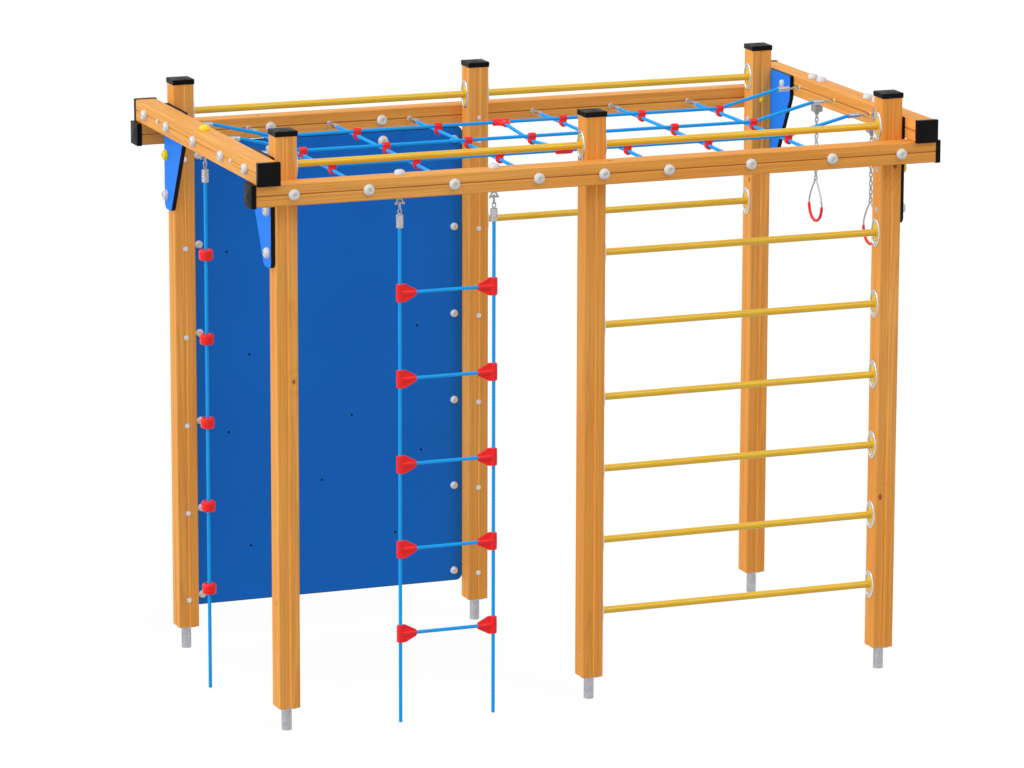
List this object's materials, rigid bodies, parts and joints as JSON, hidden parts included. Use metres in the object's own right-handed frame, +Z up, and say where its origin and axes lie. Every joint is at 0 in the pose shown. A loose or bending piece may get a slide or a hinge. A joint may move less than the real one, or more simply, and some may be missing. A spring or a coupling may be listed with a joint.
{
  "type": "playground climbing frame",
  "caption": "Timber climbing frame with a steel rung ladder, overhead rope net, rope ladder, beaded climbing rope, chain-hung gym rings and a climbing board.",
  "frame": {"origin": "centre of the footprint, on the plane of the six foot tubes' lower ends", "axes": "+X to the right along the two long beams, +Y to the back, where the climbing board is, +Z up"},
  "size_m": [3.4876, 1.9262, 2.8673],
  "materials": {
    "timber": "planed softwood under a warm translucent stain",
    "cap_plastic": "black moulded plastic, fine satin grain",
    "galvanised": "galvanised steel, satin grey",
    "bracket_board": "bright blue polyethylene board with a black core at the edges",
    "climbing_board": "deep blue film-faced board with black rounded edges",
    "yellow_steel": "yellow powder coat",
    "rope": "twisted blue polypropylene rope with a steel core",
    "red_plastic": "red injection-moulded plastic, smooth",
    "white_plastic": "white moulded bolt covers"
  },
  "bodies": {
    "frame": {"post_front_left": "timber", "post_front_middle": "timber", "post_front_right": "timber", "post_back_left": "timber", "post_back_middle": "timber", "post_back_right": "timber", "post_cap_front_left": "cap_plastic", "post_cap_front_middle": "cap_plastic", "post_cap_front_right": "cap_plastic", "post_cap_back_left": "cap_plastic", "post_cap_back_middle": "cap_plastic", "post_cap_back_right": "cap_plastic", "foot_front_left": "galvanised", "foot_front_middle": "galvanised", "foot_front_right": "galvanised", "foot_back_left": "galvanised", "foot_back_middle": "galvanised", "foot_back_right": "galvanised", "beam_front": "timber", "beam_back": "timber", "beam_front_cap_left": "cap_plastic", "beam_front_cap_right": "cap_plastic", "beam_back_cap_left": "cap_plastic", "beam_back_cap_right": "cap_plastic", "crossbeam_left": "timber", "crossbeam_right": "timber", "crossbeam_left_cap_front": "cap_plastic", "crossbeam_left_cap_back": "cap_plastic", "crossbeam_right_cap_front": "cap_plastic", "crossbeam_right_cap_back": "cap_plastic", "gusset_front_left": "bracket_board", "gusset_front_right": "bracket_board", "gusset_back_left": "bracket_board", "gusset_back_right": "bracket_board", "climbing_panel": "climbing_board", "top_rail_front_left": "yellow_steel", "top_rail_front_right": "yellow_steel", "top_rail_back_left": "yellow_steel", "top_rail_back_right": "yellow_steel", "back_bar": "yellow_steel", "rung_1": "yellow_steel", "rung_2": "yellow_steel", "rung_3": "yellow_steel", "rung_4": "yellow_steel", "rung_5": "yellow_steel", "rung_6": "yellow_steel", "net": "rope", "ladder_shackle_left": "galvanised", "ladder_shackle_right": "galvanised", "rope_shackle": "galvanised", "ring_hanger_front": "galvanised", "ring_hanger_back": "galvanised"},
    "hanging_ladder": {"rope_ladder": "rope"},
    "link": {"rope_link": "galvanised"},
    "climbing_rope": {"beaded_rope": "rope"},
    "front_chain": {"ring_chain_front": "galvanised"},
    "back_chain": {"ring_chain_back": "galvanised"},
    "front_ring": {"swing_ring_front": "red_plastic"},
    "back_ring": {"swing_ring_back": "red_plastic"}
  },
  "joints": [
    {"name": "ladder_swing", "type": "hinge", "parent": "frame", "child": "hanging_ladder", "pos_m": [-0.7655, -0.8798, 2.5017], "axis": [1, 0, 0], "range_deg": [-40, 35]},
    {"name": "link_swing", "type": "hinge", "parent": "frame", "child": "link", "pos_m": [-1.6571, 0, 2.606], "axis": [1, 0, 0], "range_deg": [-15, 15]},
    {"name": "rope_swing", "type": "hinge", "parent": "link", "child": "climbing_rope", "pos_m": [-1.6571, 0, 2.5825], "axis": [0, 1, 0], "range_deg": [-40, 40]},
    {"name": "front_chain_swing", "type": "hinge", "parent": "frame", "child": "front_chain", "pos_m": [1.6571, -0.325, 2.548], "axis": [0, 1, 0], "range_deg": [-60, 60]},
    {"name": "back_chain_swing", "type": "hinge", "parent": "frame", "child": "back_chain", "pos_m": [1.6571, 0.325, 2.548], "axis": [0, 1, 0], "range_deg": [-60, 60]},
    {"name": "front_ring_swing", "type": "hinge", "parent": "front_chain", "child": "front_ring", "pos_m": [1.6571, -0.325, 2.23045], "axis": [1, 0, 0], "range_deg": [-30, 30]},
    {"name": "back_ring_swing", "type": "hinge", "parent": "back_chain", "child": "back_ring", "pos_m": [1.6571, 0.325, 2.23045], "axis": [1, 0, 0], "range_deg": [-30, 30]}
  ]
}
